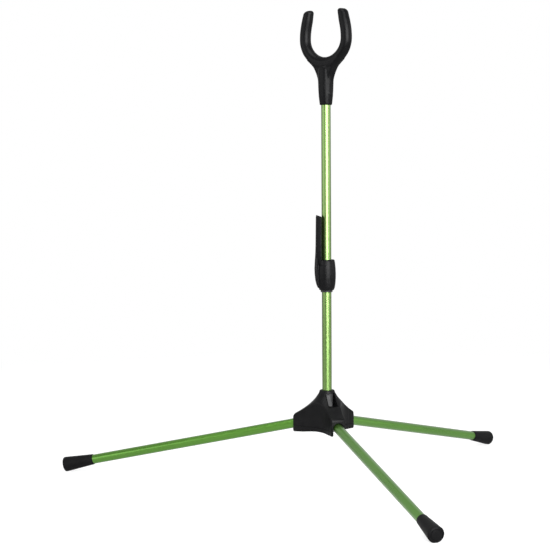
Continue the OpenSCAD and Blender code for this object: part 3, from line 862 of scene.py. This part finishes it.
def foot_outline():
    """Cone with a lip on the tube, a rounded end, and a slightly domed disc in a groove there."""
    x0, x1 = LEG_L - FOOT_L, LEG_L
    cone = math.degrees(math.atan2(FOOT_R - FOOT_MOUTH, FOOT_L))
    wall = np.linspace(0, 1, 14)[1:-1]
    rim = FOOT_R - FOOT_EDGE
    start = (x1 - FOOT_EDGE, FOOT_R)
    out = [(x0 + GRIP_L, TUBE_R + FIT), (x0 + 0.3, TUBE_R + FIT), (x0, TUBE_R + 0.25)]
    out += edge_arc(x0 + MOUTH_EDGE, FOOT_MOUTH - MOUTH_EDGE, MOUTH_EDGE, 180, 90 + cone, 4)
    mouth = out[-1]
    out += [(mouth[0] + t * (start[0] - mouth[0]), mouth[1] + t * (start[1] - mouth[1]))
            for t in wall]
    out += edge_arc(x1 - FOOT_EDGE, rim, FOOT_EDGE, 90, 8, 10)
    out += edge_arc(x1 - GROOVE_EDGE, DISC_R + 0.75, GROOVE_EDGE, 0, -80, 3)
    out += [(x1 - GROOVE_DEPTH, DISC_R + 0.35), (x1 - GROOVE_DEPTH, DISC_R + 0.1)]
    out += edge_arc(x1 - 0.3, DISC_R - 0.35, DISC_EDGE, 80, 8, 4)
    out += [(x1 + 0.3, 4.6), (x1 + 0.48, 2.6), (x1 + 0.55, 0)]
    return out


def feet():
    verts, faces = lathe(foot_outline(), 112)
    for leg in LEGS:
        m = leg_matrix(leg)
        up = np.array(m)[2, :3]
        height = np.array(verts) @ up + PIVOT_Z
        # The foot is pressed flat where it meets the floor
        pressed = np.array(verts) - np.outer(np.minimum(height, 0), up)
        make("foot_" + leg, pressed, faces, leg + "_leg", "rubber", foot_rubber, m,
             ["leg_foot_" + leg])


feet()


# ---------------------------------------------------------------- stage, lights and camera

FLOOR_HALF = 40.0                        # in metres
FLOOR_NEAR, FLOOR_FAR = 0.55, 1.3        # where the plain floor starts and ends turning white
FLOOR_GLOW = (0.78, 1.0)                 # near and far, as the camera sees it
FLOOR_LIGHT = 0.25                       # part of the glow that lights the object


def floor():
    """A wide pale floor that glows a little, so that its shadows stay light, and more far off."""
    h = FLOOR_HALF
    mesh = bpy.data.meshes.new("floor")
    mesh.from_pydata([(-h, -h, 0), (h, -h, 0), (h, h, 0), (-h, h, 0)], [], [(0, 1, 2, 3)])
    m = Nodes("floor_paper", grain=False)
    coords = m.add("ShaderNodeTexCoord").outputs["Object"]
    away = m.add("ShaderNodeVectorMath", {0: coords}, operation="LENGTH").outputs["Value"]
    far = m.spread(away, 0, 1, FLOOR_NEAR, FLOOR_FAR)
    m.link(m.mix(far, (0.38, 0.38, 0.382), (0, 0, 0)), "Base Color")
    seen = m.add("ShaderNodeLightPath").outputs["Is Camera Ray"]
    glow = m.spread(far, *FLOOR_GLOW, 0, 1)
    m.link(m.maths("MULTIPLY", glow, m.spread(seen, FLOOR_LIGHT, 1, 0, 1)), "Emission Strength")
    m.shader.inputs["Roughness"].default_value = 0.9
    m.shader.inputs["Specular IOR Level"].default_value = 0.0
    m.shader.inputs["Emission Color"].default_value = (1, 1, 1, 1)
    m.link(m.bump(m.noise(m.place(), 300, 2), 0.0002, 0.2), "Normal")
    mesh.materials.append(m.material)
    piece = bpy.data.objects.new("floor", mesh)
    bpy.context.scene.collection.objects.link(piece)


floor()

# The view: azimuth of the camera's right side, and its pitch and roll, in degrees
VIEW_TURN, VIEW_PITCH, VIEW_ROLL = 42.7, 4.093, -0.366
VIEW_DISTANCE = 2017.1
VIEW_AIM = (-65.0, 262.9)        # right of the mast, and height
VIEW_LENS, VIEW_SENSOR = 104.78, 36


def seen_from(turn_deg, distance, height, aim_height):
    """A place at that bearing from the mast, 0 being the camera's, and positive to its right, and
    the turn that makes a light there look at the mast."""
    a = math.radians(VIEW_TURN - 90 + turn_deg)
    place = Vector((MAST[0] + distance * math.cos(a), MAST[1] + distance * math.sin(a), height))
    aim = Vector((MAST[0], MAST[1], aim_height))
    return place * MM, (aim - place).to_track_quat("-Z", "Y")


def camera():
    """The photograph's viewpoint: a turn round the mast, a slight look down, and a slight roll."""
    turn, pitch, roll = (math.radians(a) for a in (VIEW_TURN, VIEW_PITCH, VIEW_ROLL))
    ground_right = right = Vector((math.cos(turn), math.sin(turn), 0))
    ahead = Vector((-math.sin(turn), math.cos(turn), 0))
    forward = ahead * math.cos(pitch) - Vector((0, 0, 1)) * math.sin(pitch)
    up = right.cross(forward)
    right, up = (right * math.cos(roll) + up * math.sin(roll),
                 up * math.cos(roll) - right * math.sin(roll))
    aim = Vector((MAST[0], MAST[1], VIEW_AIM[1])) + ground_right * VIEW_AIM[0]
    m = Matrix((right, up, -forward)).transposed().to_4x4()
    m.translation = (aim - forward * VIEW_DISTANCE) * MM
    data = bpy.data.cameras.new("camera")
    data.sensor_width = VIEW_SENSOR
    data.lens = VIEW_LENS
    data.clip_start, data.clip_end = 0.05, 200
    piece = bpy.data.objects.new("camera", data)
    piece.matrix_world = m
    bpy.context.scene.collection.objects.link(piece)
    bpy.context.scene.camera = piece


camera()


def panel(name, bearing, distance, height, size, power, aim_height):
    """A soft light that the camera doesn't see. Places are in mm, its size in metres."""
    data = bpy.data.lights.new(name, "AREA")
    data.shape = "RECTANGLE"
    data.size, data.size_y = size
    data.energy = power
    piece = bpy.data.objects.new(name, data)
    piece.rotation_mode = "QUATERNION"
    piece.location, piece.rotation_quaternion = seen_from(bearing, distance, height, aim_height)
    piece.visible_camera = False
    bpy.context.scene.collection.objects.link(piece)


panel("key", 18, 2600, 700, (2.3, 2.0), 118, 350)
panel("fill", -68, 2500, 700, (2.8, 1.8), 19, 350)
panel("side", 78, 2500, 700, (2.0, 1.8), 14, 350)
panel("top_panel", -20, 900, 2300, (1.6, 1.6), 22, 150)

# Room's brightness towards the camera's side and towards the backdrop, and where it changes
ROOM_LIGHT = (0.22, 0.52)
ROOM_RANGE = (-0.3, 0.5)


def studio():
    """A pale backdrop and a dimmer room in front, plain white where it is looked at directly."""
    world = bpy.data.worlds.new("studio")
    world.use_nodes = True
    tree = world.node_tree
    tree.nodes.clear()
    out = tree.nodes.new("ShaderNodeOutputWorld")
    mix = tree.nodes.new("ShaderNodeMixShader")
    path = tree.nodes.new("ShaderNodeLightPath")
    room, white = (tree.nodes.new("ShaderNodeBackground") for _ in range(2))
    white.inputs["Strength"].default_value = 1.0
    for shade in (room, white):
        shade.inputs["Color"].default_value = (1, 1, 1, 1)
    turn = math.radians(VIEW_TURN)
    coords = tree.nodes.new("ShaderNodeTexCoord")
    back = tree.nodes.new("ShaderNodeVectorMath")
    back.operation = "DOT_PRODUCT"
    back.inputs[1].default_value = (-math.sin(turn), math.cos(turn), 0)
    tree.links.new(coords.outputs["Generated"], back.inputs[0])
    strength = tree.nodes.new("ShaderNodeMapRange")
    for key, value in zip(("From Min", "From Max", "To Min", "To Max"), ROOM_RANGE + ROOM_LIGHT):
        strength.inputs[key].default_value = value
    tree.links.new(back.outputs["Value"], strength.inputs["Value"])
    tree.links.new(strength.outputs[0], room.inputs["Strength"])
    tree.links.new(path.outputs["Is Camera Ray"], mix.inputs[0])
    tree.links.new(room.outputs[0], mix.inputs[1])
    tree.links.new(white.outputs[0], mix.inputs[2])
    tree.links.new(mix.outputs[0], out.inputs["Surface"])
    bpy.context.scene.world = world


studio()

# ---------------------------------------------------------------- closing lines

bpy.context.scene.view_settings.view_transform = "Standard"
bpy.context.view_layer.update()
